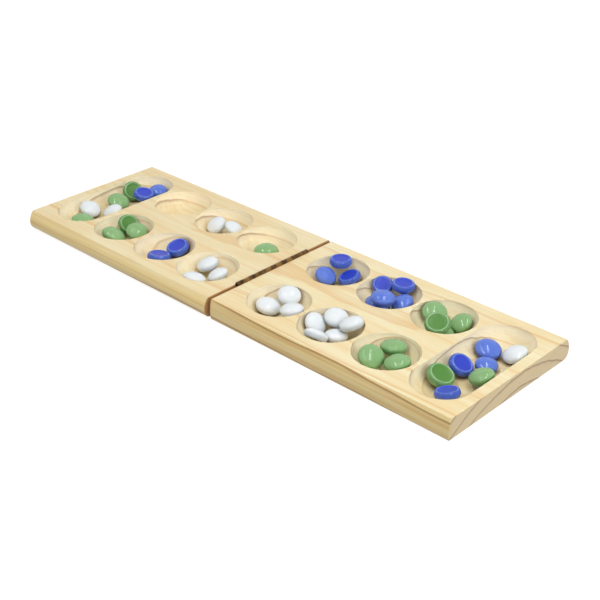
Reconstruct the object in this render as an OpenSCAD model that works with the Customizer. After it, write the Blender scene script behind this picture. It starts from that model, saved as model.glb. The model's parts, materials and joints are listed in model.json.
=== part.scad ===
// Folding mancala board: two pine halves joined by a brass hinge, with six round pits and
// one long store in each half, and a set of 48 flat-backed glass stones lying in them.
// Units are millimetres. The origin is the middle of the seam, on the face the board
// stands on. +X runs along the board to the right half's end, +Y across it, +Z up.

/* [Board] */
// Length of one half, from its seam face to its end
half_l = 220.75; // [218:0.25:230]
// Overall width, across the rounded long sides
board_w = 139.7; // [138:0.1:150]
// Thickness
board_t = 16.5; // [16.5:0.5:20]
// Gap between the two seam faces
seam_gap = 3; // [2.8:0.1:4]
// How far the long sides bulge past the flat top
side_bulge = 4.15; // [2:0.05:5]
// Depth below the top at which the long sides are widest
bulge_depth = 9.7; // [6:0.1:11]
// Half height of the ellipse that the upper part of a side follows, from a crease at the top edge
side_curve = 12.5; // [11.5:0.5:20]
// How far the bottom edges lie inside the top edges
bottom_in = 1.5; // [0:0.1:3]
// Bulge of the right half's front side, which is nearly straight
front_bulge = 1.7; // [0.5:0.1:4]
// How far that side's bottom edge lies outside its top edge
front_out = 0.8; // [0:0.1:2]

/* [Pits and stores] */
// Depth of every hollow
hollow_depth = 13; // [12:0.5:13.5]
// Radius of a round pit at its rim
pit_r = 24.4; // [23.5:0.1:25]
// Radius of the flat middle of a pit's floor
floor_r = 9; // [6:0.5:12]
// Distance from the seam's middle to the first pits' centres
first_pit_x = 38.75; // [37:0.25:42]
// Distance from one pit's centre to the next
pit_pitch = 51.15; // [50.5:0.05:52]
// Distance of each row of pits from the board's middle line
row_y = 32.4; // [31:0.1:35]
// Distance from the seam's middle to the middle of a store
store_x = 191.4; // [190:0.1:194]
// Radius of a store's round ends, which is half its width
store_r = 22.3; // [21:0.1:23]
// Half the length of a store's straight sides
store_half = 34.8; // [30:0.2:38]
// Bevel that breaks every rim's edge
rim_bevel = 0.5; // [0.2:0.1:1]

/* [Hinge] */
// Length of the hinge
hinge_l = 76; // [60:1:90]
// Number of knuckles, an odd number
knuckle_count = 13; // [5:2:17]
// Gap between neighbouring knuckles
knuckle_gap = 0.15; // [0.1:0.05:0.3]
// Outer radius of the knuckles
knuckle_r = 1.6; // [1.5:0.05:1.7]
// Radius of the pin
pin_r = 0.7; // [0.6:0.05:0.8]
// Height of the pin's axis above the board's top
axis_rise = 0.8; // [0.7:0.1:1.2]
// Thickness of a leaf
leaf_t = 0.9; // [0.7:0.1:1]
// How far the leaves reach down from the pin's axis
leaf_drop = 13.5; // [12:0.5:14]

/* [Screws] */
// Screws in each leaf
screw_count = 4; // [2:1:6]
// Distance between neighbouring screws
screw_pitch = 20; // [14:1:22]
// Overall length of a screw
screw_l = 10; // [8:0.5:11]
// Radius of a screw's shank
shank_r = 1; // [0.8:0.05:1.2]
// Radius of a screw's countersunk head
head_r = 1.9; // [1.8:0.05:2.2]

/* [Stones] */
// Radius of an ordinary stone
stone_r = 9.15; // [8.5:0.05:9.5]
// Height of the dome above a stone's widest line
dome_h = 4.8; // [4:0.1:5]
// Depth of the rounded underside below the widest line
under_h = 3; // [2:0.1:3.5]
// Radius of the flat ring that a stone stands on
foot_r = 7.3; // [6:0.1:7.5]
// Depth of the dished middle of the underside
dish_depth = 0.7; // [0.3:0.1:1]
// Clearance between a stone and the wood under it
stone_clear = 0.35; // [0.3:0.05:0.5]

/* [Hidden] */
eps = 0.01;
over = 1;
side_steps = 9;
arc_steps = 10;
dome_steps = 9;
under_steps = 4;
wood_color = [0.92, 0.84, 0.64];
brass_color = [0.72, 0.57, 0.27];
pin_color = [0.45, 0.37, 0.24];
steel_color = [0.72, 0.70, 0.64];
white = [0.90, 0.92, 0.94];
blue = [0.27, 0.36, 0.80];
green = [0.42, 0.68, 0.42];
up = 1;
down = -1;

flat_half_w = board_w / 2 - side_bulge;
crease_angle = asin(bulge_depth / side_curve);
wall_run = pit_r - floor_r;
wall_arc = (wall_run * wall_run + hollow_depth * hollow_depth) / (2 * hollow_depth);
wall_top = sqrt(wall_arc * wall_arc - pow(wall_arc - hollow_depth + rim_bevel, 2));
store_floor = store_r - wall_run;
axis_z = board_t + axis_rise;
leaf_x = seam_gap / 2 - leaf_t;
knuckle_pitch = hinge_l / knuckle_count;
notch_r = knuckle_r + 0.2;
pin_clear = 0.05;
pin_head_r = pin_r + 0.5;
pin_head_t = 0.6;
screw_z = board_t - 7.5;
screw_clear = 0.05;
shank_start = seam_gap / 2;
tip_l = 3;
tip_r = 0.2;
tip_room = 0.5;
slot_w = 0.5;
slot_depth = 0.4;
foot_w = 0.9;
dish_edge = 0.6;
dish_crown = 0.1;

// The hollows: name, centre across X, centre across Y, and half the length of its straight sides
HOLLOWS = [
    ["left_store", -store_x, 0, store_half],
    ["left_front_1", -first_pit_x, -row_y, 0],
    ["left_front_2", -first_pit_x - pit_pitch, -row_y, 0],
    ["left_front_3", -first_pit_x - 2 * pit_pitch, -row_y, 0],
    ["left_rear_1", -first_pit_x, row_y, 0],
    ["left_rear_2", -first_pit_x - pit_pitch, row_y, 0],
    ["left_rear_3", -first_pit_x - 2 * pit_pitch, row_y, 0],
    ["right_store", store_x, 0, store_half],
    ["right_front_1", first_pit_x, -row_y, 0],
    ["right_front_2", first_pit_x + pit_pitch, -row_y, 0],
    ["right_front_3", first_pit_x + 2 * pit_pitch, -row_y, 0],
    ["right_rear_1", first_pit_x, row_y, 0],
    ["right_rear_2", first_pit_x + pit_pitch, row_y, 0],
    ["right_rear_3", first_pit_x + 2 * pit_pitch, row_y, 0],
];

// The stones, each set by hand as it lies in its hollow: node, hollow, colour, position along X
// and Y from the hollow's centre, lean from level in degrees, compass direction it leans towards
// in degrees from +X, whether its dome is up or down, size against an ordinary stone, and how far
// its neighbours hold it up off the wood
STONES = [
    ["green_stone_1", "left_store", green, -9, 25, 50, -20, down, 1, 0],
    ["blue_stone_1", "left_store", blue, 5, 26, 15, 0, down, 1, 3],
    ["blue_stone_2", "left_store", blue, 3, 44, 10, -40, up, 0.9, 0],
    ["green_stone_2", "left_store", green, -3, 4, 20, 0, up, 1.05, 1],
    ["white_stone_1", "left_store", white, -9, -22, 25, 10, up, 1, 0.5],
    ["white_stone_2", "left_store", white, 9, -12, 20, -120, up, 0.95, 1],
    ["green_stone_3", "left_store", green, 6, -42, 5, 90, up, 1.05, 0.5],
    ["white_stone_3", "left_front_1", white, -9, 8, 20, -150, up, 1, 0],
    ["white_stone_4", "left_front_1", white, 0, -14, 20, 90, up, 1, 0],
    ["white_stone_5", "left_front_1", white, 7, 4, 25, -150, up, 0.95, 0.5],
    ["blue_stone_3", "left_front_2", blue, 1, -7, 10, 100, down, 1.05, 0.5],
    ["blue_stone_4", "left_front_2", blue, 1, 13, 20, -90, down, 1.05, 0],
    ["green_stone_4", "left_front_3", green, -8, 11, 45, -10, down, 1, 0],
    ["green_stone_5", "left_front_3", green, 5, 9, 20, -10, up, 1, 0],
    ["green_stone_6", "left_front_3", green, -4, -8, 25, 50, up, 1.1, 0],
    ["green_stone_7", "left_rear_1", green, 1, -2, 0, 0, up, 1.1, 0],
    ["white_stone_6", "left_rear_2", white, -8, -1, 30, -100, up, 0.95, 0],
    ["white_stone_7", "left_rear_2", white, 10, 2, 30, 30, up, 0.9, 1],
    ["blue_stone_5", "right_store", blue, -8, 28, 15, -20, up, 1.05, 0],
    ["white_stone_8", "right_store", white, 10, 34, 20, -140, up, 1, 0],
    ["blue_stone_6", "right_store", blue, -8, -4, 30, 0, down, 1, 0.5],
    ["blue_stone_7", "right_store", blue, 2, 12, 5, 10, up, 0.9, 0.5],
    ["green_stone_8", "right_store", green, 12, -8, 20, -160, up, 1, 0.5],
    ["green_stone_9", "right_store", green, -9, -25, 25, 0, down, 1.1, 1],
    ["blue_stone_8", "right_store", blue, 6, -37, 15, 160, down, 1, 1],
    ["white_stone_9", "right_front_1", white, -3, 14, 20, -30, up, 1, 0.5],
    ["white_stone_10", "right_front_1", white, -9, -2, 15, 30, up, 1.05, 0],
    ["white_stone_11", "right_front_1", white, 13, 0, 10, 170, up, 1, 2],
    ["white_stone_12", "right_front_2", white, -6, 13, 15, -20, up, 1, 1],
    ["white_stone_13", "right_front_2", white, -15, 1, 40, 0, up, 0.95, 0],
    ["white_stone_14", "right_front_2", white, 11, 10, 20, -170, up, 1, 3.5],
    ["white_stone_15", "right_front_2", white, -1, -14, 40, 100, up, 1, 2],
    ["white_stone_16", "right_front_2", white, 4, 2, 10, 110, up, 0.95, 0],
    ["green_stone_10", "right_front_3", green, -6, -8, 30, -20, up, 1.05, 2],
    ["green_stone_11", "right_front_3", green, -3, 12, 10, 130, up, 1.05, 0],
    ["green_stone_12", "right_front_3", green, 12, -2, 10, -160, up, 1.05, 2],
    ["blue_stone_9", "right_rear_1", blue, -8, 12, 0, 0, down, 1, 2.5],
    ["blue_stone_10", "right_rear_1", blue, -9, -4, 30, 0, up, 0.95, 0],
    ["blue_stone_11", "right_rear_1", blue, 6, 7, 20, -130, down, 1, 0],
    ["blue_stone_12", "right_rear_2", blue, -14, 9, 30, -50, down, 0.9, 0],
    ["blue_stone_13", "right_rear_2", blue, 1, 15, 5, 0, down, 1, 0.5],
    ["blue_stone_14", "right_rear_2", blue, 4, -12, 5, 60, up, 1.05, 6],
    ["blue_stone_15", "right_rear_2", blue, 11, 2, 20, -120, up, 0.95, 2],
    ["blue_stone_16", "right_rear_2", blue, -4, -8, 10, 50, up, 1.05, 0.5],
    ["green_stone_13", "right_rear_3", green, -13, 6, 25, -30, up, 1.05, 0],
    ["green_stone_14", "right_rear_3", green, 4, -13, 25, -60, down, 1.05, 2],
    ["green_stone_15", "right_rear_3", green, 8, 10, 30, -110, up, 0.95, 0],
    ["green_stone_16", "right_rear_3", green, 4, -7, 5, 80, up, 0.95, 0],
];

// Height of the wood under a point of a hollow, from the point's distance past the flat floor
function wood_z(past) =
    let (t = min(max(past, 0), wall_run))
    board_t - hollow_depth + wall_arc - sqrt(wall_arc * wall_arc - t * t);

// How far a point lies past a hollow's flat floor
function past_floor(hollow, x, y) =
    norm([x, max(abs(y) - hollow[3], 0)]) - (hollow[3] > 0 ? store_floor : floor_r);

// A direction or point of a stone, turned by its tilt about Y and then its heading about Z
function turned(p, tilt, heading) =
    let (x = p[0] * cos(tilt) + p[2] * sin(tilt),
         z = p[2] * cos(tilt) - p[0] * sin(tilt))
    [x * cos(heading) - p[1] * sin(heading), x * sin(heading) + p[1] * cos(heading), z];

// Outline of an ordinary stone from the middle of its dish to the top of its dome
stone_outline = concat(
    [[0, dish_depth - under_h],
     [foot_r - foot_w - dish_edge, dish_depth - under_h - dish_crown],
     [foot_r - foot_w, -under_h]],
    [for (i = [0:under_steps - 1])
        let (a = 90 - i * 90 / under_steps)
        [foot_r + (stone_r - foot_r) * cos(a), -under_h * sin(a)]],
    [for (i = [0:dome_steps])
        let (a = i * 90 / dome_steps)
        [stone_r * cos(a), dome_h * sin(a)]]
);

// Height of a stone's centre when it rests on the wood, found from points all over its surface
function rest_z(stone, hollow) =
    let (tilt = stone[5] + (stone[7] == up ? 0 : 180))
    max([for (ring = stone_outline, a = [0:10:350])
        let (p = turned([ring[0] * cos(a), ring[0] * sin(a), ring[1]] * stone[8], tilt, stone[6]))
        wood_z(past_floor(hollow, stone[3] + p[0], stone[4] + p[1])) - p[2]])
    + stone_clear + stone[9];

function hollow_named(name) = HOLLOWS[search([name], HOLLOWS)[0]];

// Outline of one long side, from its top edge down to its bottom edge, on the side s of the
// middle line. It bulges past the top edge, and its bottom edge lies inside it by tuck.
function side_points(s, bulge, tuck) = concat(
    [for (i = [side_steps:-1:0])
        let (a = i * crease_angle / side_steps)
        [s * (flat_half_w + bulge * (cos(a) - cos(crease_angle)) / (1 - cos(crease_angle))),
         board_t - bulge_depth + side_curve * sin(a)]],
    [for (i = [1:side_steps])
        let (a = i * 90 / side_steps)
        [s * (flat_half_w + bulge - (bulge + tuck) * (1 - cos(a))),
         (board_t - bulge_depth) * (1 - sin(a))]]
);

// Front side of the half on the side s of the seam: 1 is the right half, -1 the left half
function front_points(s) =
    s > 0 ? side_points(-1, front_bulge, -front_out) : side_points(-1, side_bulge, bottom_in);

function reversed(list) = [for (i = [len(list) - 1:-1:0]) list[i]];

// Half outline of the cutter for a hollow, from the middle of its floor to above the rim
function cutter_outline(flat) = concat(
    [[0, board_t - hollow_depth]],
    [for (i = [0:arc_steps])
        let (t = wall_top * sin(i * 90 / arc_steps))
        [flat + t, wood_z(t)]],
    [[flat + wall_run + rim_bevel, board_t],
     [flat + wall_run + rim_bevel, board_t + over],
     [0, board_t + over]]
);

module pit_cutter(hollow)
    translate([hollow[1], hollow[2], 0])
        rotate_extrude($fn = 96)
            polygon(cutter_outline(floor_r));

module store_cutter(hollow)
    translate([hollow[1], hollow[2], 0]) {
        for (s = [-1, 1])
            translate([0, s * store_half, 0])
                rotate([0, 0, s > 0 ? 0 : 180])
                    rotate_extrude(angle = 180, $fn = 96)
                        polygon(cutter_outline(store_floor));
        rotate([90, 0, 0])
            linear_extrude(2 * store_half, center = true)
                for (s = [0, 1])
                    mirror([s, 0])
                        polygon(cutter_outline(store_floor));
    }

// One half of the board, on the side s of the seam: 1 is the right half, -1 the left half
module half_board(s)
    color(wood_color)
        difference() {
            translate([s > 0 ? shank_start : -shank_start - half_l, 0, 0])
                rotate([90, 0, 90])
                    linear_extrude(half_l)
                        polygon(concat(side_points(1, side_bulge, bottom_in),
                                       reversed(front_points(s))));
            for (hollow = HOLLOWS)
                if (hollow[1] * s > 0)
                    if (hollow[3] > 0)
                        store_cutter(hollow);
                    else
                        pit_cutter(hollow);
            at_screws(s)
                translate([0, 0, shank_start - over])
                    cylinder(h = screw_l - leaf_t + tip_room + over, r = shank_r + screw_clear,
                             $fn = 32);
        }

// Puts its children at each screw of the leaf on side s, with +Z running into the wood
module at_screws(s)
    for (i = [0:screw_count - 1])
        translate([0, (i - (screw_count - 1) / 2) * screw_pitch, screw_z])
            rotate([0, s * 90, 0])
                children();

// Puts its children at the middle of every knuckle of one leaf, first 0 or 1, along the pin
module at_knuckles(first)
    for (i = [first:2:knuckle_count - 1])
        translate([0, (i + 0.5) * knuckle_pitch - hinge_l / 2, axis_z])
            children();

// A hinge leaf on side s, with the knuckles that start at number first
module hinge_leaf(s, first)
    color(brass_color)
        difference() {
            union() {
                difference() {
                    translate([s > 0 ? leaf_x : -leaf_x - leaf_t, -hinge_l / 2, axis_z - leaf_drop])
                        cube([leaf_t, hinge_l, leaf_drop]);
                    at_knuckles(1 - first)
                        cube([4 * knuckle_r, knuckle_pitch + knuckle_gap, 2 * notch_r], center = true);
                }
                at_knuckles(first)
                    rotate([90, 0, 0])
                        cylinder(h = knuckle_pitch - knuckle_gap, r = knuckle_r, center = true, $fn = 64);
            }
            translate([0, 0, axis_z])
                rotate([90, 0, 0])
                    cylinder(h = hinge_l + 2 * over, r = pin_r + pin_clear, center = true, $fn = 48);
            at_screws(s)
                translate([0, 0, leaf_x - eps])
                    cylinder(h = leaf_t + 2 * eps, r1 = head_r + screw_clear,
                             r2 = shank_r + screw_clear, $fn = 48);
        }

module hinge_pin()
    color(pin_color)
        translate([0, 0, axis_z])
            rotate([90, 0, 0]) {
                cylinder(h = hinge_l + 2 * eps, r = pin_r, center = true, $fn = 48);
                for (s = [-1, 1])
                    translate([0, 0, s * (hinge_l + pin_head_t) / 2])
                        cylinder(h = pin_head_t, r = pin_head_r, center = true, $fn = 48);
            }

// One countersunk wood screw, with its head's face at z = 0 and its slot across X
module screw()
    difference() {
        union() {
            cylinder(h = leaf_t, r1 = head_r, r2 = shank_r, $fn = 48);
            cylinder(h = screw_l - tip_l, r = shank_r, $fn = 32);
            translate([0, 0, screw_l - tip_l])
                cylinder(h = tip_l, r1 = shank_r, r2 = tip_r, $fn = 32);
        }
        cube([4 * head_r, slot_w, 2 * slot_depth], center = true);
    }

module screws(s)
    color(steel_color)
        at_screws(s)
            translate([0, 0, leaf_x])
                screw();

module stone(row) {
    hollow = hollow_named(row[1]);
    translate([hollow[1] + row[3], hollow[2] + row[4], rest_z(row, hollow)])
        rotate([0, 0, row[6]])
            rotate([0, row[5] + (row[7] == up ? 0 : 180), 0])
                color(row[2])
                    rotate_extrude($fn = 72)
                        polygon(stone_outline * row[8]);
}

half_board(-1);  // left_board
half_board(1);  // right_board
hinge_leaf(-1, 1);  // hinge_leaf_left
hinge_leaf(1, 0);  // hinge_leaf_right
hinge_pin();
screws(-1);  // screws_left
screws(1);  // screws_right
for (row = STONES)
    stone(row);
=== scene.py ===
"""Looks of the folding mancala board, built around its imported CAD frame.

The two halves and the stones are remade as finer meshes, on the dimensions of the CAD nodes that
they stand for. The hinge leaves, the pin and the screws are copies of their CAD nodes with softened
edges. Lengths are in millimetres until a mesh is made, and +X, +Y, +Z are those of the CAD frame.
"""

import json
import math
import random
from typing import NamedTuple

import bmesh
import bpy
import numpy as np
from mathutils import Matrix, Vector, geometry


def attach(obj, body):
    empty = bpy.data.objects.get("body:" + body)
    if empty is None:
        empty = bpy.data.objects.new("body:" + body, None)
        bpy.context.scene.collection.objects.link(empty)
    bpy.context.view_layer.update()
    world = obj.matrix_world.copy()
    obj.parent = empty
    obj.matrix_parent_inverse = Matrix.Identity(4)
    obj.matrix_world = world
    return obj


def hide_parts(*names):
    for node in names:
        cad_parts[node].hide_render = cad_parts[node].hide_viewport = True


MM = 0.001
WHITE = (1.0, 1.0, 1.0, 1.0)

# The board
HALF_L = 220.75
BOARD_T = 16.5
SEAM_GAP = 3.0
FLAT_HALF_W = 65.7
SIDE_BULGE = 4.15
BULGE_DEPTH = 9.7
SIDE_CURVE = 12.5
BOTTOM_IN = 1.5
FRONT_BULGE = 1.7
FRONT_OUT = 0.8
EDGE_ROUND = 0.4

# The hollows
DEPTH = 13.0
WALL_RUN = 15.4
FLOOR_R = 9.0
STORE_FLOOR = 6.9
STORE_HALF = 34.8
STORE_X = 191.4
PIT_X = (38.75, 89.9, 141.05)
ROW_Y = 32.4
RIM_ROUND = 0.55

# A stone of size 1
STONE_R = 9.15
DOME_H = 4.8
UNDER_H = 3.0
FOOT_R = 7.3
DISH_R = 7.0
DISH_DEPTH = 0.7

# The share of its CAD height that a remade stone keeps, so that it stays inside the CAD solid
STONE_FIT = 0.99


def srgb(red, green, blue):
    """A colour given as 0 to 255 on a screen, as linear RGBA."""
    linear = []
    for channel in (red, green, blue):
        share = channel / 255
        linear.append(share / 12.92 if share <= 0.04045 else ((share + 0.055) / 1.055) ** 2.4)
    return (*linear, 1.0)


# ---------------------------------------------------------------- node helpers


class Shade:
    """A material's node tree, with short ways to add and join its nodes."""

    def __init__(self, name):
        self.material = bpy.data.materials.new(name)
        self.material.use_nodes = True
        self.tree = self.material.node_tree
        self.shader = self.tree.nodes["Principled BSDF"]

    def node(self, kind, inputs=None, **settings):
        made = self.tree.nodes.new(kind)
        for key, value in settings.items():
            setattr(made, key, value)
        for key, value in (inputs or {}).items():
            self.feed(made.inputs[key], value)
        return made

    def feed(self, socket, value):
        if isinstance(value, bpy.types.NodeSocket):
            self.tree.links.new(value, socket)
        else:
            socket.default_value = value

    def math(self, operation, a, b=0.0, clamp=False):
        made = self.node("ShaderNodeMath", {0: a, 1: b}, operation=operation, use_clamp=clamp)
        return made.outputs[0]

    def plus(self, a, b):
        return self.math("ADD", a, b)

    def less(self, a, b):
        return self.math("SUBTRACT", a, b)

    def times(self, a, b):
        return self.math("MULTIPLY", a, b)

    def vector(self, operation, a, b):
        return self.node("ShaderNodeVectorMath", {0: a, 1: b}, operation=operation).outputs[0]

    def noise(self, place, scale, detail=2.0, roughness=0.5):
        made = self.node(
            "ShaderNodeTexNoise",
            {"Vector": place, "Scale": scale, "Detail": detail, "Roughness": roughness},
        )
        return made.outputs["Fac"]

    def grain(self, place, along, across, detail, roughness=0.5):
        """Noise drawn out along X, with its scale for each millimetre along and across the grain."""
        drawn_out = self.vector("MULTIPLY", place, (along, across, across))
        return self.noise(drawn_out, 1.0, detail, roughness)

    def ramp(self, value, stops):
        made = self.node("ShaderNodeValToRGB", {0: value})
        elements = made.color_ramp.elements
        while len(elements) < len(stops):
            elements.new(0.5)
        for element, (position, colour) in zip(elements, stops):
            element.position = position
            element.color = colour if isinstance(colour, tuple) else (colour, colour, colour, 1.0)
        return made.outputs[0]

    def mix(self, factor, a, b, blend="MIX"):
        """Colour a, or b where the factor is 1, from the colour sockets of a Mix node."""
        made = self.node("ShaderNodeMix", data_type="RGBA", blend_type=blend)
        factor_in, a_in, b_in, colour_out = 0, 6, 7, 2
        self.feed(made.inputs[factor_in], factor)
        self.feed(made.inputs[a_in], a)
        self.feed(made.inputs[b_in], b)
        return made.outputs[colour_out]

    def between(self, value, start, end):
        """0 at start, 1 at end, and smooth from one to the other. Start may be the higher one."""
        made = self.node(
            "ShaderNodeMapRange", {0: value, 1: start, 2: end}, interpolation_type="SMOOTHSTEP"
        )
        return made.outputs[0]

    def open_space(self, distance_mm):
        """1 in the open, and towards 0 in the narrow gaps beside another piece, where shade is painted.
        """
        made = self.node("ShaderNodeAmbientOcclusion", {"Distance": distance_mm * MM}, samples=8)
        return self.between(made.outputs["AO"], 0.1, 0.75)

    def place(self):
        """The point being shaded, in the piece's own frame, in millimetres."""
        coordinates = self.node("ShaderNodeTexCoord")
        return self.vector("MULTIPLY", coordinates.outputs["Object"], (1 / MM, 1 / MM, 1 / MM))

    def axes(self, vector):
        """The three outputs for a vector's X, Y and Z."""
        return self.node("ShaderNodeSeparateXYZ", {0: vector}).outputs

    def bump(self, height, strength, distance_mm):
        made = self.node(
            "ShaderNodeBump", {"Height": height, "Strength": strength, "Distance": distance_mm * MM}
        )
        self.feed(self.shader.inputs["Normal"], made.outputs[0])

    def finish(self, **values):
        """Feeds the shader's own inputs, whose names are given with _ for a space."""
        for key, value in values.items():
            self.feed(self.shader.inputs[key.replace("_", " ")], value)
        return self.material


# ---------------------------------------------------------------- pine

# Early wood: on the whole, in its warmer clouds, as painted light on the hollows' walls, as a golden
# tone with painted light on the sides, in bands and on the ends
PALE = (237, 226, 188)
WARM = (233, 214, 168)
WALL_PAINTED_LIGHT = srgb(255, 244, 214)
SIDE_TONE_AND_LIGHT = srgb(252, 226, 158)
GOLDEN_WOOD = srgb(224, 178, 98)
END_WOOD = srgb(226, 204, 160)

# Late wood: on the top, where it is cut across, on the sides, on the ends, and in the fine rings
LATE_TOP = srgb(216, 166, 96)
LATE_CUT = srgb(160, 120, 78)
LATE_SIDE = srgb(178, 126, 64)
LATE_END = srgb(128, 84, 50)
LATE_FINE = srgb(226, 190, 130)

# Painted shade on the wood in the narrow gaps beside stones, and on the two faces in the seam's narrow
# gap
GAP_SHADE_WOOD = srgb(112, 78, 46)
SEAM_SHADE_WOOD = srgb(186, 134, 78)

# How many fine rings lie in one wide one, and how high the rings' waves and ripples are
FINE_RINGS = 5.0
WAVE_H = 9.0
RIPPLE_H = 2.2

# How near another piece has to be for painted shade on the wood or the glass beside it
WOOD_SHADE_REACH = 6.0
GLASS_SHADE_REACH = 5.0


class Log(NamedTuple):
    """How a half lies in its log: the pith's place, and its rings' spacing, start and slope along X."""

    pith_y: float
    pith_z: float
    ring_gap: float
    first_ring: float
    slope: float


class Zones:
    """Shares from 0 to 1 that say what kind of surface a point of a half is on.

    The hollows lie inside: away from the seam, the far end, the long sides and the underside.
    """

    def __init__(self, shade, parts):
        facing = shade.axes(shade.node("ShaderNodeTexCoord").outputs["Normal"])
        endways = shade.math("ABSOLUTE", facing[0])
        sideways = shade.math("ABSOLUTE", facing[1])
        from_seam = shade.math("ABSOLUTE", parts[0])
        from_middle = shade.math("ABSOLUTE", parts[1])
        inside = shade.times(
            shade.between(from_seam, 5.0, 8.0), shade.between(from_seam, 218.0, 216.0)
        )
        inside = shade.times(inside, shade.between(from_middle, 62.0, 59.0))
        self.inside = shade.times(inside, shade.between(parts[2], 0.5, 1.5))
        self.wall = shade.times(self.inside, shade.between(facing[2], 0.95, 0.3))
        self.side = shade.times(
            shade.between(sideways, 0.55, 0.98), shade.less(1.0, self.inside)
        )
        self.cut_across = shade.between(endways, 0.35, 0.95)
        self.end = shade.between(endways, 0.985, 0.999)
        self.seam = shade.less(1.0, shade.between(from_seam, 1.7, 2.3))


def ring_turns(shade, place, parts, log):
    """How many wide rings lie between the first one and a point, with the rings bent into waves."""
    sway = shade.grain(place, 0.006, 0.02, 1.0)
    ripple = shade.grain(place, 0.02, 0.12, 2.0)
    across = shade.less(parts[1], log.pith_y)
    rise = shade.less(parts[2], log.pith_z)
    squares = shade.plus(shade.times(across, across), shade.times(rise, rise))
    radius = shade.math("SQRT", squares)
    radius = shade.plus(radius, shade.times(parts[0], log.slope))
    for wave, height in ((sway, WAVE_H), (ripple, RIPPLE_H)):
        radius = shade.plus(radius, shade.times(shade.less(wave, 0.5), height))
    return shade.math("DIVIDE", shade.less(radius, log.first_ring), log.ring_gap)


def early_wood(shade, place, zones, tint):
    """The colour between the rings, with painted light on the hollows' walls and on the long sides."""
    pale = srgb(*[channel * share for channel, share in zip(PALE, tint)])
    warm = srgb(*[channel * share for channel, share in zip(WARM, tint)])
    clouds = shade.grain(place, 0.012, 0.05, 3.0)
    bands = shade.grain(place, 0.004, 0.24, 3.0)
    colour = shade.mix(shade.between(clouds, 0.35, 0.7), pale, warm)
    # Painted light: the hollows' walls are lightened, and the long sides get a golden tone that is also
    # lightened
    colour = shade.mix(shade.times(zones.wall, 0.9), colour, WALL_PAINTED_LIGHT)
    colour = shade.mix(shade.times(zones.side, 0.85), colour, SIDE_TONE_AND_LIGHT)
    golden = shade.plus(shade.times(zones.side, 0.35), 0.3)
    golden = shade.less(golden, shade.times(zones.wall, 0.22))
    golden = shade.times(golden, shade.between(bands, 0.46, 0.68))
    return shade.mix(golden, colour, GOLDEN_WOOD)


def with_late_wood(shade, colour, zones, late, fine):
    """Adds the fine rings and the wide ones to the colour of the early wood."""
    colour = shade.mix(shade.times(fine, 0.14), colour, LATE_FINE)
    colour = shade.mix(zones.end, colour, END_WOOD)
    late_colour = shade.mix(zones.cut_across, LATE_TOP, LATE_CUT)
    late_colour = shade.mix(zones.side, late_colour, LATE_SIDE)
    late_colour = shade.mix(zones.end, late_colour, LATE_END)
    share = shade.plus(shade.times(zones.cut_across, 0.25), 0.42)
    share = shade.plus(share, shade.times(zones.side, 0.45))
    return shade.mix(shade.math("MULTIPLY", late, share, clamp=True), colour, late_colour)


def with_fibres(shade, colour, place, zones, fibres):
    """Adds darker streaks along the fibres, and pores, which show most on the ends."""
    streaks = shade.ramp(fibres, [(0.3, (0.94, 0.91, 0.86, 1.0)), (0.62, WHITE)])
    colour = shade.mix(0.8, colour, streaks, "MULTIPLY")
    pores = shade.grain(place, 0.25, 6.0, 2.0, 0.6)
    specks = shade.ramp(pores, [(0.32, (0.86, 0.80, 0.72, 1.0)), (0.45, WHITE)])
    return shade.mix(shade.plus(shade.times(zones.end, 0.5), 0.2), colour, specks, "MULTIPLY")


def pine(name, log, tint):
    """Pale lacquered pine whose growth rings are wavy cylinders round a pith along X."""
    shade = Shade(name)
    place = shade.place()
    parts = shade.axes(place)
    zones = Zones(shade, parts)
    turns = ring_turns(shade, place, parts, log)
    late = shade.ramp(
        shade.math("FRACT", turns),
        [(0.0, 0.25), (0.02, 0.0), (0.7, 0.0), (0.88, 0.22), (0.94, 0.9), (0.985, 1.0), (1.0, 0.6)],
    )
    fine = shade.ramp(
        shade.math("FRACT", shade.times(turns, FINE_RINGS)),
        [(0.0, 0.0), (0.7, 0.1), (0.95, 1.0), (1.0, 0.0)],
    )
    fibres = shade.grain(place, 0.035, 1.7, 4.0, 0.6)
    colour = early_wood(shade, place, zones, tint)
    colour = with_late_wood(shade, colour, zones, late, fine)
    colour = with_fibres(shade, colour, place, zones, fibres)
    # Painted shade: the wood darkens in the narrow gaps beside stones
    gap_shade = shade.times(zones.inside, shade.less(1.0, shade.open_space(WOOD_SHADE_REACH)))
    colour = shade.mix(gap_shade, colour, GAP_SHADE_WOOD)
    # Painted shade on the two faces in the seam's narrow gap
    colour = shade.mix(shade.times(zones.seam, 0.85), colour, SEAM_SHADE_WOOD)
    shade.bump(shade.plus(shade.times(fibres, 0.7), shade.times(late, 0.5)), 0.35, 0.06)
    rough = shade.ramp(fibres, [(0.3, 0.45), (0.7, 0.36)])
    return shade.finish(Base_Color=colour, Roughness=rough, Specular_IOR_Level=0.4)


# ---------------------------------------------------------------- glass, metal and paper


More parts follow.
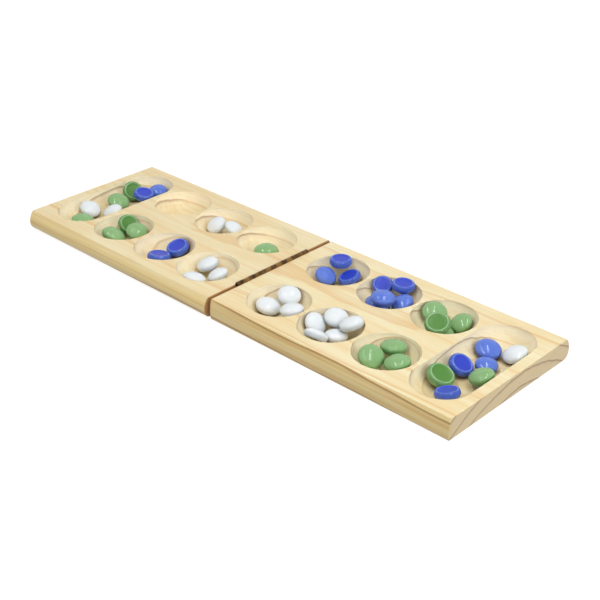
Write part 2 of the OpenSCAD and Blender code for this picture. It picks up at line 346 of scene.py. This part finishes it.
def glass(name, dome, shadow, dish, rim):
    """Opaque pressed glass: milky glossy dome, dished underside, painted shade low on the dome, beside
    other pieces and in the dish, and a painted highlight round the dish's rim.
    """
    shade = Shade(name)
    place = shade.place()
    own = shade.node("ShaderNodeTexCoord").outputs["Generated"]
    from_middle = shade.vector("SUBTRACT", own, (0.5, 0.5, 0.0))
    flat = shade.vector("MULTIPLY", from_middle, (2 * STONE_R, 2 * STONE_R, 0.0))
    reach = shade.node("ShaderNodeVectorMath", {0: flat}, operation="LENGTH").outputs["Value"]
    height = shade.axes(own)[2]
    underside = shade.less(1.0, shade.between(height, 0.12, 0.2))
    in_dish = shade.times(underside, shade.less(1.0, shade.between(reach, 6.7, 7.0)))
    rim_glint = shade.times(underside, shade.between(reach, 6.75, 7.0))
    rim_glint = shade.times(rim_glint, shade.less(1.0, shade.between(reach, 7.2, 7.7)))
    swirl = shade.noise(shade.vector("MULTIPLY", place, (0.3, 0.12, 0.3)), 1.0, 4.0, 0.6)
    fine = shade.noise(place, 1.1, 3.0)
    # Painted shade: the dome darkens towards its bottom
    low = shade.less(1.0, shade.between(height, 0.3, 0.62))
    colour = shade.mix(shade.times(low, 0.75), dome, shadow)
    colour = shade.mix(shade.times(shade.between(swirl, 0.42, 0.72), 0.35), colour, rim)
    # Painted shade: the dish is a deeper, darker colour
    colour = shade.mix(in_dish, colour, dish)
    # Painted highlight: a thin pale line round the rim of the dish
    colour = shade.mix(shade.times(rim_glint, 0.8), colour, rim)
    # Painted shade in the narrow gaps beside other pieces
    colour = shade.mix(shade.open_space(GLASS_SHADE_REACH), shadow, colour)
    polish = shade.ramp(fine, [(0.3, 0.04), (0.7, 0.12)])
    rough = shade.plus(shade.times(in_dish, 0.25), polish)
    dents = shade.plus(shade.noise(place, 0.28, 2.0), shade.times(fine, 0.07))
    shade.bump(dents, 0.4, 0.35)
    return shade.finish(Base_Color=colour, Roughness=rough, IOR=1.5)


def metal(name, bright, dark, tarnish, rough):
    """Metal that has darkened in patches, with fine scratches."""
    shade = Shade(name)
    place = shade.place()
    patches = shade.noise(place, 0.16, 6.0, 0.6)
    scratches = shade.noise(shade.vector("MULTIPLY", place, (9.0, 0.8, 9.0)), 1.0, 3.0)
    share = shade.between(patches, 0.6 - tarnish * 0.4, 0.95 - tarnish * 0.4)
    colour = shade.mix(share, bright, dark)
    roughness = shade.ramp(scratches, [(0.3, rough - 0.08), (0.7, rough + 0.12)])
    shade.bump(scratches, 0.3, 0.03)
    return shade.finish(Base_Color=colour, Roughness=roughness, Metallic=1.0)


def floor_paper():
    """White studio paper that is lit through from behind, so that shadows on it stay faint."""
    shade = Shade("studio_paper")
    grain = shade.noise(shade.place(), 0.05, 3.0)
    colour = shade.ramp(grain, [(0.3, srgb(122, 122, 122)), (0.7, srgb(128, 128, 128))])
    shade.finish(Base_Color=colour, Roughness=0.9, Specular_IOR_Level=0.1)
    return shade.finish(Emission_Color=WHITE, Emission_Strength=0.88)


# ---------------------------------------------------------------- mesh helpers


class Shell:
    """Vertices, their smooth normals and faces, gathered for one mesh."""

    def __init__(self):
        self.points = []
        self.normals = []
        self.faces = []

    def ring(self, points, normals=()):
        """Adds a loop of points and returns their numbers."""
        start = len(self.points)
        self.points.extend(points)
        self.normals.extend(normals)
        return list(range(start, start + len(points)))

    def join(self, a, b, closed=True):
        """Quads between two loops of equal length."""
        count = len(a)
        for i in range(count if closed else count - 1):
            j = (i + 1) % count
            self.faces.append((a[i], a[j], b[j], b[i]))

    def turn_outwards(self):
        """Turns every face outwards, which the custom normals then agree with."""
        mesh = bmesh.new()
        vertices = [mesh.verts.new(p) for p in self.points]
        for face in self.faces:
            mesh.faces.new([vertices[i] for i in face])
        bmesh.ops.recalc_face_normals(mesh, faces=mesh.faces)
        mesh.verts.index_update()
        self.faces = [tuple(v.index for v in face.verts) for face in mesh.faces]
        mesh.free()

    def piece(self, name, material, at=None):
        """The finished object, smooth, with the gathered normals where there are any."""
        self.turn_outwards()
        mesh = bpy.data.meshes.new(name)
        mesh.from_pydata([tuple(c * MM for c in p) for p in self.points], [], self.faces)
        mesh.polygons.foreach_set("use_smooth", [True] * len(mesh.polygons))
        mesh.update()
        if self.normals:
            normals = [Vector(n).normalized() for n in self.normals]
            mesh.normals_split_custom_set_from_vertices(normals)
        mesh.materials.append(material)
        made = in_scene(name, mesh)
        if at is not None:
            made.matrix_world = at
        return made


def in_scene(name, data):
    """An object with that mesh, light or camera, linked into the scene."""
    made = bpy.data.objects.new(name, data)
    bpy.context.scene.collection.objects.link(made)
    return made


# ---------------------------------------------------------------- the board


def hollows(side):
    """Centre and straight half-length of each hollow in the half on that side of the seam."""
    found = [(side * x, row * ROW_Y, 0.0) for x in PIT_X for row in (-1, 1)]
    return found + [(side * STORE_X, 0.0, STORE_HALF)]


def side_outline(bulge, tuck):
    """One long side from the top's rounded edge down to the bottom: points with their normals."""
    crease = math.asin(BULGE_DEPTH / SIDE_CURVE)
    swell = bulge / (1 - math.cos(crease))
    lean = math.atan2(SIDE_CURVE * math.cos(crease), swell * math.sin(crease))
    middle = FLAT_HALF_W - EDGE_ROUND * math.tan(lean / 2)
    outline = []
    edge_steps = 4
    for i in range(edge_steps + 1):
        a = lean * i / edge_steps
        point = (
            middle + EDGE_ROUND * math.sin(a),
            BOARD_T - EDGE_ROUND * (1 - math.cos(a)),
        )
        outline.append((point, (math.sin(a), math.cos(a))))
    steps = 16
    for i in range(1, steps + 1):
        a = crease * (1 - i / steps)
        point = (
            FLAT_HALF_W + swell * (math.cos(a) - math.cos(crease)),
            BOARD_T - BULGE_DEPTH + SIDE_CURVE * math.sin(a),
        )
        outline.append((point, (SIDE_CURVE * math.cos(a), swell * math.sin(a))))
    waist = bulge + tuck
    lower = BOARD_T - BULGE_DEPTH
    for i in range(1, steps + 1):
        a = math.radians(90 * i / steps)
        point = (FLAT_HALF_W - tuck + waist * math.cos(a), lower * (1 - math.sin(a)))
        outline.append((point, (lower * math.cos(a), -waist * math.sin(a))))
    return outline


def section_points(side):
    """Section across a half, from the top's front edge round to its rear edge, with its normals."""
    rear = side_outline(SIDE_BULGE, BOTTOM_IN)
    front = side_outline(FRONT_BULGE, -FRONT_OUT) if side > 0 else rear
    front = [((-p[0], p[1]), (-n[0], n[1])) for p, n in front]
    return [(p, Vector(n).normalized()) for p, n in front + rear[::-1]]


def outer_stations(x_low, x_high):
    """Places along X with their inset and the share of the normal that points along X."""
    steps = 5
    low = []
    for i in range(steps + 1):
        a = math.radians(90 * i / steps)
        x = x_low + EDGE_ROUND * (1 - math.sin(a))
        low.append((x, EDGE_ROUND * (1 - math.cos(a)), -math.sin(a)))
    high = [(x_low + x_high - x, inset, -share) for x, inset, share in low]
    return low[::-1] + high


def hollow_outline(centre, past, depth_z, floor):
    """A loop round a hollow at one distance past its flat floor, and outward directions in plan."""
    x, y, half = centre
    radius = floor + past
    count = 96
    flat_end = 1e-9
    points, directions = [], []
    for i in range(count):
        a = 2 * math.pi * i / count
        c, s = math.cos(a), math.sin(a)
        if abs(s) > flat_end:
            shifts = (math.copysign(half, s),)
        elif half:
            shifts = (-half, half) if c > 0 else (half, -half)
        else:
            shifts = (0.0,)
        for shift in shifts:
            points.append((x + radius * c, y + shift + radius * s, depth_z))
            directions.append((c, s))
    return points, directions


def hollow_profile():
    """Distance past the floor, height, and the normal's outward and upward parts, from rim down."""
    arc = (WALL_RUN**2 + DEPTH**2) / (2 * DEPTH)
    top_angle = math.asin(WALL_RUN / arc)
    rim_reach = WALL_RUN + RIM_ROUND * math.tan(top_angle / 2)
    rim_steps = 5
    profile = []
    for i in range(rim_steps + 1):
        a = top_angle * i / rim_steps
        past = rim_reach - RIM_ROUND * math.sin(a)
        z = BOARD_T - RIM_ROUND * (1 - math.cos(a))
        profile.append((past, z, -math.sin(a), math.cos(a)))
    wall_top = math.asin(min(profile[-1][0] / arc, 1.0))
    wall_steps = 18
    for i in range(1, wall_steps + 1):
        a = wall_top * (1 - i / wall_steps)
        z = BOARD_T - DEPTH + arc * (1 - math.cos(a))
        profile.append((arc * math.sin(a), z, -math.sin(a), math.cos(a)))
    return profile


def cut_hollow(shell, centre):
    """Adds a hollow's rounded rim, wall and floor, and returns its loop in the board's top."""
    floor = STORE_FLOOR if centre[2] else FLOOR_R
    loops = []
    for past, z, out, up in hollow_profile():
        points, directions = hollow_outline(centre, past, z, floor)
        loops.append(shell.ring(points, [(out * c, out * s, up) for c, s in directions]))
    for upper, lower in zip(loops, loops[1:]):
        shell.join(upper, lower)
    shell.faces.append(tuple(loops[-1]))
    return loops[0]


def inside_loop(point, loop):
    """Whether a point in plan lies inside a convex loop that runs anticlockwise."""
    for (ax, ay), (bx, by) in zip(loop, loop[1:] + loop[:1]):
        if (bx - ax) * (point.y - ay) - (by - ay) * (point.x - ax) < 0:
            return False
    return True


def fill_top(shell, corners, loops):
    """Fills the flat top between its four corners and the hollows' rims."""
    inside_edges, tolerance = 1, 1e-6
    numbers = list(corners)
    edges = [(i, (i + 1) % 4) for i in range(4)]
    holes = []
    for loop in loops:
        start = len(numbers)
        numbers.extend(loop)
        edges.extend((start + i, start + (i + 1) % len(loop)) for i in range(len(loop)))
        holes.append([shell.points[i][:2] for i in loop])
    flat = [Vector(shell.points[i][:2]) for i in numbers]
    filled = geometry.delaunay_2d_cdt(flat, edges, [], inside_edges, tolerance)
    triangles, origin = filled[2], filled[3]
    for triangle in triangles:
        middle = sum((flat[origin[i][0]] for i in triangle), Vector((0, 0))) / 3
        if not any(inside_loop(middle, hole) for hole in holes):
            shell.faces.append(tuple(numbers[origin[i][0]] for i in triangle))


def board_half(name, side, material):
    """One half of the board, with rounded edges and hollows."""
    shell = Shell()
    near, far = SEAM_GAP / 2, SEAM_GAP / 2 + HALF_L
    x_low, x_high = (near, far) if side > 0 else (-far, -near)
    section = section_points(side)
    rings = []
    for x, inset, share in outer_stations(x_low, x_high):
        flat = math.sqrt(max(0.0, 1 - share * share))
        points = [(x, p[0] - inset * n.x, p[1] - inset * n.y) for p, n in section]
        rings.append(shell.ring(points, [(share, flat * n.x, flat * n.y) for _, n in section]))
    top = len(rings) // 2 - 1
    for i, (a, b) in enumerate(zip(rings, rings[1:])):
        shell.join(a, b, closed=False)
        if i != top:
            shell.faces.append((a[-1], a[0], b[0], b[-1]))
    shell.faces.append(tuple(rings[0]))
    shell.faces.append(tuple(rings[-1]))
    a, b = rings[top], rings[top + 1]
    loops = [cut_hollow(shell, centre) for centre in hollows(side)]
    fill_top(shell, (a[0], b[0], b[-1], a[-1]), loops)
    return shell.piece(name, material)


# ---------------------------------------------------------------- the hinge and its screws

# Vertices nearer than this are joined. Edges bent by more than the first angle are rounded off, and
# those bent by less than the second are shaded smooth
WELD_MM = 0.001
ROUNDED_FROM = math.radians(50)
SMOOTH_UP_TO = math.radians(20)


def softened(name, node, material, width):
    """A metal piece on a CAD node's own surfaces, with its sharp edges rounded off."""
    mesh = bmesh.new()
    mesh.from_mesh(node.data)
    bmesh.ops.remove_doubles(mesh, verts=mesh.verts, dist=WELD_MM * MM)
    sharp = [e for e in mesh.edges if e.is_manifold and e.calc_face_angle() > ROUNDED_FROM]
    bmesh.ops.bevel(
        mesh, geom=sharp, offset=width * MM, segments=2, profile=0.5, affect="EDGES", clamp_overlap=True
    )
    bmesh.ops.recalc_face_normals(mesh, faces=mesh.faces)
    data = bpy.data.meshes.new(name)
    mesh.to_mesh(data)
    mesh.free()
    data.polygons.foreach_set("use_smooth", [True] * len(data.polygons))
    data.set_sharp_from_angle(angle=SMOOTH_UP_TO)
    data.materials.append(material)
    made = in_scene(name, data)
    made.matrix_world = node.matrix_world
    return made


# ---------------------------------------------------------------- the stones


def flattest(points, triangles):
    """Centre of mass of a closed mesh, and the direction in which its mass spreads least."""
    a, b, c = (points[triangles[:, i]] for i in range(3))
    volumes = np.einsum("ij,ij->i", a, np.cross(b, c)) / 6
    total = volumes.sum()
    centre = ((a + b + c) / 4 * volumes[:, None]).sum(0) / total
    a, b, c = a - centre, b - centre, c - centre
    spread = np.zeros((3, 3))
    for arm in (a, b, c, a + b + c):
        spread += np.einsum("i,ij,ik->jk", volumes / 20, arm, arm)
    return centre, np.linalg.eigh(spread * np.sign(total))[1][:, 0]


def stone_frame(node):
    """Where a CAD stone lies: (frame with +Z out of its dome at its widest plane, size)."""
    mesh = node.data
    mesh.calc_loop_triangles()
    points = np.array([v.co for v in mesh.vertices]) / MM
    triangles = np.array([t.vertices for t in mesh.loop_triangles])
    centre, axis = flattest(points, triangles)
    heights = (points - centre) @ axis
    reach = np.linalg.norm(points - centre - heights[:, None] * axis, axis=1)
    rounding = 0.02
    widest = heights[reach > reach.max() - rounding].mean()
    if heights.max() - widest < widest - heights.min():
        axis, widest = -axis, -widest
    at = Vector(axis).to_track_quat("Z", "Y").to_matrix().to_4x4()
    at.translation = Vector(centre + axis * widest) * MM
    return at, reach.max() / STONE_R


def stone_profile():
    """Radius and height of a stone's outline, from the middle of its dish to the top of its dome."""
    outline = [(0.0, DISH_DEPTH - UNDER_H)]
    for share in (0.3, 0.55, 0.72, 0.84, 0.91, 0.95, 0.98, 1.0):
        outline.append((share * DISH_R, DISH_DEPTH * (1 - share**6) - UNDER_H))
    outline.append(((DISH_R + FOOT_R) / 2, -UNDER_H))
    for degrees in range(90, 0, -9):
        a = math.radians(degrees)
        outline.append((FOOT_R + (STONE_R - FOOT_R) * math.cos(a), -UNDER_H * math.sin(a)))
    for degrees in range(0, 90, 6):
        a = math.radians(degrees)
        outline.append((STONE_R * math.cos(a), DOME_H * math.sin(a)))
    outline.append((0.0, DOME_H))
    return outline


def stone(name, node, material, seed):
    """A pressed glass stone, not quite round, in place of one CAD stone."""
    draw = random.Random(seed)
    at, size = stone_frame(node)
    waves = [(k, draw.uniform(0.004, 0.016) / k, draw.uniform(0, 2 * math.pi)) for k in (2, 3, 4)]
    turn = draw.uniform(0, 2 * math.pi)
    limit = sum(amount for _, amount, _ in waves)
    around = 72
    plan = []
    for i in range(around):
        a = turn + 2 * math.pi * i / around
        width = 1 - limit + sum(amount * math.cos(k * a + start) for k, amount, start in waves)
        plan.append((width * math.cos(a), width * math.sin(a)))
    outline = [(size * r, size * z * STONE_FIT) for r, z in stone_profile()]
    shell = Shell()
    rings = [shell.ring([(r * x, r * y, z) for x, y in plan]) for r, z in outline[1:-1]]
    bottom = shell.ring([(0, 0, outline[0][1])])[0]
    top = shell.ring([(0, 0, outline[-1][1])])[0]
    for a, b in zip(rings, rings[1:]):
        shell.join(a, b)
    for i in range(around):
        j = (i + 1) % around
        shell.faces.append((bottom, rings[0][j], rings[0][i]))
        shell.faces.append((top, rings[-1][i], rings[-1][j]))
    return shell.piece(name, material, at)


# ---------------------------------------------------------------- the pieces


def stand_in(piece, node):
    """Puts a finished piece in the place of a CAD node, on that node's body."""
    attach(piece, node_body[node])
    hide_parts(node)


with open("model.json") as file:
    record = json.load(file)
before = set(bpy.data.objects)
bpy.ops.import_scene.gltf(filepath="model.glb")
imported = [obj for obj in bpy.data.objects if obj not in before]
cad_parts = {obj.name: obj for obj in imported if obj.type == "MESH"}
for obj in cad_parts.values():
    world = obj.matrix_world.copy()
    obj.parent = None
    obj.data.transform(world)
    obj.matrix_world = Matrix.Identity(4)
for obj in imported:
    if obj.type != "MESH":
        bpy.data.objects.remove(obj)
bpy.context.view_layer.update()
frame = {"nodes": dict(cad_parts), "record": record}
nodes = frame["nodes"]
node_body = {}
for body, members in frame["record"]["behaviour"]["bodies"].items():
    for member in members:
        node_body[member] = body

RIGHT_LOG = Log(pith_y=6.0, pith_z=-88.5, ring_gap=11.3, first_ring=94.05, slope=0.004)
LEFT_LOG = Log(pith_y=14.0, pith_z=-95.0, ring_gap=18.0, first_ring=93.3, slope=-0.01)
pine_right = pine("pine_right", RIGHT_LOG, (1.0, 1.0, 1.0))
pine_left = pine("pine_left", LEFT_LOG, (0.985, 0.975, 0.965))
# The two hinge leaves are lit and shaded copies of one brass: painted light on the left leaf, painted
# shade on the right
brass_painted_light = metal("brass_painted_light", srgb(186, 150, 92), srgb(96, 72, 50), 0.5, 0.34)
brass_painted_shade = metal("brass_painted_shade", srgb(150, 118, 88), srgb(70, 52, 40), 0.6, 0.38)
pin_metal = metal("pin_metal", srgb(96, 76, 52), srgb(44, 34, 28), 0.5, 0.4)
screw_metal = metal("screw_metal", srgb(196, 178, 120), srgb(120, 104, 70), 0.3, 0.3)

# Colour of the glass: its dome, its painted shadows, its dish painted deeper as shade, and its pale
# swirls, which also paint a highlight round the dish's rim
GLASS = {
    "white": ((224, 229, 232), (190, 199, 207), (200, 208, 215), (238, 241, 243)),
    "blue": ((88, 118, 208), (52, 78, 176), (46, 66, 190), (120, 148, 228)),
    "green": ((132, 174, 116), (86, 136, 70), (82, 134, 58), (158, 198, 146)),
}
stone_glass = {}
for word, colours in GLASS.items():
    stone_glass[word] = glass(f"{word}_glass", *[srgb(*colour) for colour in colours])

for side, word, material in ((1, "right", pine_right), (-1, "left", pine_left)):
    stand_in(board_half(f"{word}_half_pine", side, material), f"{word}_board")

# Node, material, slot and how far its edges are rounded off
METAL = (
    ("hinge_leaf_right", brass_painted_shade, "brass", 0.12),
    ("hinge_leaf_left", brass_painted_light, "brass", 0.12),
    ("hinge_pin", pin_metal, "dark_brass", 0.1),
    ("screws_left", screw_metal, "steel", 0.06),
    ("screws_right", screw_metal, "steel", 0.06),
)
for name, material, slot, width in METAL:
    stand_in(softened(f"{name}_metal", nodes[name], material, width), name)

FIRST_SEED = 100
for number, name in enumerate(sorted(n for n in nodes if "_stone_" in n)):
    word = name.split("_")[0]
    gem = stone(f"{name}_gem", nodes[name], stone_glass[word], FIRST_SEED + number)
    stand_in(gem, name)


# ---------------------------------------------------------------- floor, lights and camera

# In metres: how far the floor reaches each way, how far it lies under the board, and how far the
# camera sees
FLOOR_REACH = 250.0
FLOOR_DROP = 0.0002
CLIP_END = 600

# The camera's heading and height as seen from the board, its lens, the point that it looks at, and
# its distance from there in metres
AZIMUTH = math.radians(43.7)
ELEVATION = math.radians(29.27)
LENS = 70.1
SENSOR_WIDTH = 36
TARGET = Vector((49.9, -21.7, BOARD_T)) * MM
DISTANCE = 0.857

WORLD_LIGHT = 0.42

# The directions that the lights and the camera are placed along
towards_camera = Vector((math.sin(AZIMUTH), -math.cos(AZIMUTH), 0))
picture_right = Vector((math.cos(AZIMUTH), math.sin(AZIMUTH), 0))
overhead = Vector((0, 0, 1))


def studio(up, forward, right):
    """A place given in metres above the board, towards the camera and to the picture's right."""
    return overhead * up + towards_camera * forward + picture_right * right


def aimed(right, up, back, place):
    """The matrix of a lamp or camera, from the directions of its right, its top and its back."""
    matrix = Matrix((right, up, back)).transposed().to_4x4()
    matrix.translation = place
    return matrix


def softbox(name, place, along, size, power, seen_in_gloss=True):
    """A rectangular soft light that faces the board's middle, with its length along a direction."""
    lamp = bpy.data.lights.new(name, "AREA")
    lamp.shape = "RECTANGLE"
    lamp.size, lamp.size_y = size
    lamp.energy = power
    back = place.normalized()
    across = along.cross(back).normalized()
    made = in_scene(name, lamp)
    made.matrix_world = aimed(across, back.cross(across), back, place)
    made.visible_glossy = seen_in_gloss


def add_floor():
    """A flat sheet of studio paper under the board, which bounces no light onto it."""
    r = FLOOR_REACH
    mesh = bpy.data.meshes.new("studio_floor")
    mesh.from_pydata([(-r, -r, 0), (r, -r, 0), (r, r, 0), (-r, r, 0)], [], [(0, 1, 2, 3)])
    mesh.materials.append(floor_paper())
    floor = in_scene("studio_floor", mesh)
    floor.location.z = -FLOOR_DROP
    floor.visible_diffuse = False


def add_lights():
    """Two soft lights, a wall of light behind, and two strips that shine in the glass."""
    softbox("key_light", studio(1.25, 0.4, -0.35), picture_right, (0.6, 0.6), 2.2, False)
    softbox("fill_light", studio(0.6, 0.7, 0.9), overhead, (0.7, 0.5), 4.4, False)
    softbox("back_wall", studio(0.95, -1.6, 0), picture_right, (1.1, 2.6), 2.8)
    for word, shift in (("left", -0.38), ("right", 0.34)):
        softbox(f"{word}_strip", studio(1.15, 0.25, shift), towards_camera, (0.045, 1.5), 4.4)


def add_world():
    """Even white light from everywhere, shown without a film look."""
    world = bpy.data.worlds.new("studio")
    world.use_nodes = True
    background = world.node_tree.nodes["Background"]
    background.inputs["Color"].default_value = WHITE
    background.inputs["Strength"].default_value = WORLD_LIGHT
    bpy.context.scene.world = world
    bpy.context.scene.view_settings.view_transform = "Standard"


def add_camera():
    """The camera, which looks down at its target."""
    forward = -towards_camera * math.cos(ELEVATION) - overhead * math.sin(ELEVATION)
    data = bpy.data.cameras.new("camera")
    data.sensor_width = SENSOR_WIDTH
    data.lens = LENS
    data.clip_end = CLIP_END
    camera = in_scene("camera", data)
    upward = picture_right.cross(forward)
    camera.matrix_world = aimed(picture_right, upward, -forward, TARGET - forward * DISTANCE)
    bpy.context.scene.camera = camera


add_floor()
add_lights()
add_world()
add_camera()
